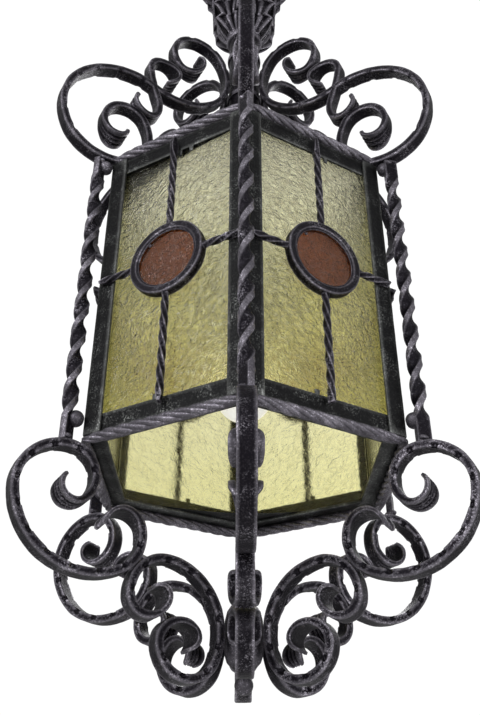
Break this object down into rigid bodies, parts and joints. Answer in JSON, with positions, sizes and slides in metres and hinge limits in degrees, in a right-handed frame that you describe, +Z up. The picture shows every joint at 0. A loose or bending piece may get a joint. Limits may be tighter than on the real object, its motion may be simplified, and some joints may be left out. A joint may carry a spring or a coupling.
{
  "type": "hanging lantern",
  "caption": "Hexagonal wrought-iron ceiling lantern with stained-glass panes, twisted corner bars and scroll brackets, hung by a ring from a hook.",
  "frame": {"origin": "centre of the ceiling plate's upper face, where it rests against the ceiling", "axes": "+Z up, out of the ceiling face; the lantern hangs along -Z, with one corner of the hexagon and its brackets pointing along -Y"},
  "size_m": [0.4312, 0.4886, 1.1869],
  "materials": {
    "wrought_iron": "forged, blackened and dry-brushed with silver on the edges",
    "amber_glass": "rippled cathedral glass, pale yellow",
    "red_glass": "textured brick-red glass",
    "opal_bulb": "white opal bulb with a metal screw cap",
    "holder_plastic": "dark moulded lampholder"
  },
  "bodies": {
    "ceiling": {"ceiling_plate": "wrought_iron", "ceiling_hook": "wrought_iron"},
    "ring": {"hanging_ring": "wrought_iron"},
    "lantern": {"bottom_rail": "wrought_iron", "top_rail": "wrought_iron", "bottom_rope_trim": "wrought_iron", "top_rope_trim": "wrought_iron", "corner_post_1": "wrought_iron", "corner_post_2": "wrought_iron", "corner_post_3": "wrought_iron", "corner_post_4": "wrought_iron", "corner_post_5": "wrought_iron", "corner_post_6": "wrought_iron", "glass_pane_1": "amber_glass", "glass_pane_2": "amber_glass", "glass_pane_3": "amber_glass", "glass_pane_4": "amber_glass", "glass_pane_5": "amber_glass", "glass_pane_6": "amber_glass", "red_light_1": "red_glass", "red_light_2": "red_glass", "red_light_3": "red_glass", "red_light_4": "red_glass", "red_light_5": "red_glass", "red_light_6": "red_glass", "ring_and_glazing_bars_1": "wrought_iron", "ring_and_glazing_bars_2": "wrought_iron", "ring_and_glazing_bars_3": "wrought_iron", "ring_and_glazing_bars_4": "wrought_iron", "ring_and_glazing_bars_5": "wrought_iron", "ring_and_glazing_bars_6": "wrought_iron", "twisted_corner_bar_1": "wrought_iron", "twisted_corner_bar_2": "wrought_iron", "twisted_corner_bar_3": "wrought_iron", "twisted_corner_bar_4": "wrought_iron", "twisted_corner_bar_5": "wrought_iron", "twisted_corner_bar_6": "wrought_iron", "lower_outer_scroll_1": "wrought_iron", "lower_outer_scroll_2": "wrought_iron", "lower_outer_scroll_3": "wrought_iron", "lower_outer_scroll_4": "wrought_iron", "lower_outer_scroll_5": "wrought_iron", "lower_outer_scroll_6": "wrought_iron", "lower_inner_scroll_1": "wrought_iron", "lower_inner_scroll_2": "wrought_iron", "lower_inner_scroll_3": "wrought_iron", "lower_inner_scroll_4": "wrought_iron", "lower_inner_scroll_5": "wrought_iron", "lower_inner_scroll_6": "wrought_iron", "upper_scroll_1": "wrought_iron", "upper_scroll_2": "wrought_iron", "upper_scroll_3": "wrought_iron", "upper_scroll_4": "wrought_iron", "upper_scroll_5": "wrought_iron", "upper_scroll_6": "wrought_iron", "lower_hub": "wrought_iron", "stem": "wrought_iron", "leaf_crown": "wrought_iron", "lampholder": "holder_plastic"},
    "bulb": {"bulb": "opal_bulb"}
  },
  "joints": [
    {"name": "ring_swing", "type": "hinge", "parent": "ceiling", "child": "ring", "pos_m": [0, 0, -0.084], "axis": [1, 0, 0], "range_deg": [-40, 40]},
    {"name": "lantern_swing", "type": "hinge", "parent": "ring", "child": "lantern", "pos_m": [0, 0, -0.1337], "axis": [0, 1, 0], "range_deg": [-30, 30]},
    {"name": "bulb_unscrew", "type": "hinge", "parent": "lantern", "child": "bulb", "pos_m": [0, 0, -0.8554], "axis": [0, 0, -1], "range_deg": [0, 1440]}
  ]
}
